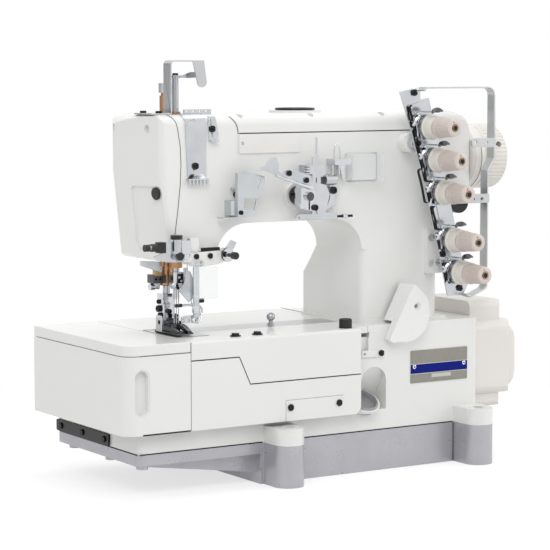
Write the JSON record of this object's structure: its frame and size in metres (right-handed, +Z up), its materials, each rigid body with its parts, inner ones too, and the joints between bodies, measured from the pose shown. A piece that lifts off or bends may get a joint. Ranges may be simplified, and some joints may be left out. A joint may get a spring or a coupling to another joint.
{
  "type": "coverstitch sewing machine",
  "caption": "Flatbed coverstitch sewing machine head with needle arm, thread tension rack, handwheel, swing-open bed covers and direct-drive motor on an oil pan.",
  "frame": {"origin": "centre of the four mounting holes, on the bottom plane of the oil pan", "axes": "+X from the needle head to the handwheel, +Y to the back, +Z up"},
  "size_m": [0.545, 0.2865, 0.4643],
  "materials": {
    "white_enamel": "gloss enamel",
    "grey_enamel": "satin grey enamel",
    "white_cover": "gloss",
    "cream_plastic": "satin",
    "steel": "ground and polished",
    "chrome": "polished",
    "brass": "satin",
    "black_metal": "black oxide",
    "black_rubber": "matt",
    "black_plastic": "gloss",
    "clear_plastic": "clear",
    "grey_print": "satin"
  },
  "bodies": {
    "frame": {"oil_pan": "grey_enamel", "pan_end_plate": "black_metal", "bed_casting": "white_enamel", "side_hinge_pin": "steel", "bed_plate": "white_enamel", "slide_plate": "steel", "ball_knob": "chrome", "cover_hinge_pins": "steel", "oil_plug": "grey_enamel", "needle_plate": "steel", "feed_dog": "steel", "arm_casting": "white_enamel", "top_cover": "white_enamel", "window_ring": "black_plastic", "window_glass": "clear_plastic", "face_cover": "white_enamel", "face_plug": "black_plastic", "badge_plate": "grey_print", "name_plate": "grey_print", "timing_belt": "black_rubber", "motor_housing": "cream_plastic", "bronze_bushes": "brass", "top_guard": "chrome", "head_guide": "chrome", "thread_bracket": "chrome", "clear_cover": "clear_plastic", "spreader_bracket": "chrome", "thread_tension": "chrome", "tension_plate": "chrome", "tension_guard": "chrome", "tension_posts": "steel", "thread_fingers": "chrome", "rack_knob": "black_plastic", "black_screws": "black_metal"},
    "side_cover": {"side_cover": "white_enamel", "cloth_plate_left": "white_enamel"},
    "front_cover": {"front_cover": "white_enamel", "access_plate": "white_enamel", "access_screws": "black_metal"},
    "cover_latch": {"cover_latch": "white_enamel"},
    "feed_cover": {"feed_cover": "white_cover"},
    "push_button": {"push_button": "black_rubber"},
    "main_shaft": {"upper_shaft": "steel", "handwheel": "cream_plastic", "upper_pulley": "steel"},
    "lower_shaft": {"lower_shaft": "steel"},
    "needle_bar": {"needle_bar": "steel", "needle_clamp": "steel", "needles": "steel"},
    "presser": {"presser_bar": "steel", "presser_foot": "steel"},
    "pressure_screw": {"pressure_screw": "brass"},
    "looper": {"looper": "steel"},
    "take_up": {"take_up": "chrome"},
    "eye_guard": {"eye_guard": "clear_plastic"},
    "tension_knob_1": {"tension_knob_1": "cream_plastic"},
    "tension_knob_2": {"tension_knob_2": "cream_plastic"},
    "tension_knob_3": {"tension_knob_3": "cream_plastic"},
    "tension_knob_4": {"tension_knob_4": "cream_plastic"},
    "tension_knob_5": {"tension_knob_5": "cream_plastic"}
  },
  "joints": [
    {"name": "side_cover_hinge", "type": "hinge", "parent": "frame", "child": "side_cover", "pos_m": [-0.2536, 0.101, 0.11], "axis": [0, 0, -1], "range_deg": [0, 90]},
    {"name": "front_cover_hinge", "type": "hinge", "parent": "frame", "child": "front_cover", "pos_m": [-0.137, -0.102, 0.076], "axis": [1, 0, 0], "range_deg": [0, 84]},
    {"name": "cover_latch_turn", "type": "hinge", "parent": "frame", "child": "cover_latch", "pos_m": [0.008, -0.096, 0.1345], "axis": [0, -1, 0], "range_deg": [0, 80]},
    {"name": "feed_cover_turn", "type": "hinge", "parent": "frame", "child": "feed_cover", "pos_m": [0.051, -0.1, 0.186], "axis": [0, 1, 0], "range_deg": [0, 75]},
    {"name": "push_button_press", "type": "slide", "parent": "frame", "child": "push_button", "axis": [0, 0, -1], "range_m": [0, 0.004], "stiffness_N_per_m": 400, "springref_m": -0.001},
    {"name": "handwheel_turn", "type": "hinge", "parent": "frame", "child": "main_shaft", "pos_m": [0.175, -0.046, 0.352], "axis": [1, 0, 0], "continuous": true},
    {"name": "lower_shaft_turn", "type": "hinge", "parent": "frame", "child": "lower_shaft", "pos_m": [0.1, -0.028, 0.113], "axis": [1, 0, 0], "continuous": true},
    {"name": "needle_bar_slide", "type": "slide", "parent": "frame", "child": "needle_bar", "axis": [0, 0, -1], "range_m": [0, 0.031]},
    {"name": "presser_lift", "type": "slide", "parent": "frame", "child": "presser", "axis": [0, 0, 1], "range_m": [0, 0.008], "stiffness_N_per_m": 500, "springref_m": -0.004},
    {"name": "pressure_screw_turn", "type": "hinge", "parent": "frame", "child": "pressure_screw", "pos_m": [-0.229, -0.024, 0.416], "axis": [0, 0, 1], "continuous": true},
    {"name": "looper_rock", "type": "hinge", "parent": "frame", "child": "looper", "pos_m": [-0.223, -0.02, 0.092], "axis": [0, 1, 0], "range_deg": [-12, 12]},
    {"name": "take_up_rock", "type": "hinge", "parent": "frame", "child": "take_up", "pos_m": [-0.0965, -0.09, 0.316], "axis": [0, 1, 0], "range_deg": [-20, 20]},
    {"name": "eye_guard_flip", "type": "hinge", "parent": "frame", "child": "eye_guard", "pos_m": [-0.2275, -0.0906, 0.246], "axis": [-1, 0, 0], "range_deg": [0, 90]},
    {"name": "tension_knob_1_turn", "type": "hinge", "parent": "frame", "child": "tension_knob_1", "pos_m": [0.07, -0.12, 0.389], "axis": [0, -1, 0], "continuous": true},
    {"name": "tension_knob_2_turn", "type": "hinge", "parent": "frame", "child": "tension_knob_2", "pos_m": [0.07991, -0.12, 0.35149], "axis": [0, -1, 0], "continuous": true},
    {"name": "tension_knob_3_turn", "type": "hinge", "parent": "frame", "child": "tension_knob_3", "pos_m": [0.08982, -0.12, 0.31398], "axis": [0, -1, 0], "continuous": true},
    {"name": "tension_knob_4_turn", "type": "hinge", "parent": "frame", "child": "tension_knob_4", "pos_m": [0.10433, -0.12, 0.25906], "axis": [0, -1, 0], "continuous": true},
    {"name": "tension_knob_5_turn", "type": "hinge", "parent": "frame", "child": "tension_knob_5", "pos_m": [0.11424, -0.12, 0.22155], "axis": [0, -1, 0], "continuous": true}
  ],
  "couplings": [
    {"joint": "lower_shaft_turn", "follows": "handwheel_turn", "ratio": 1}
  ]
}
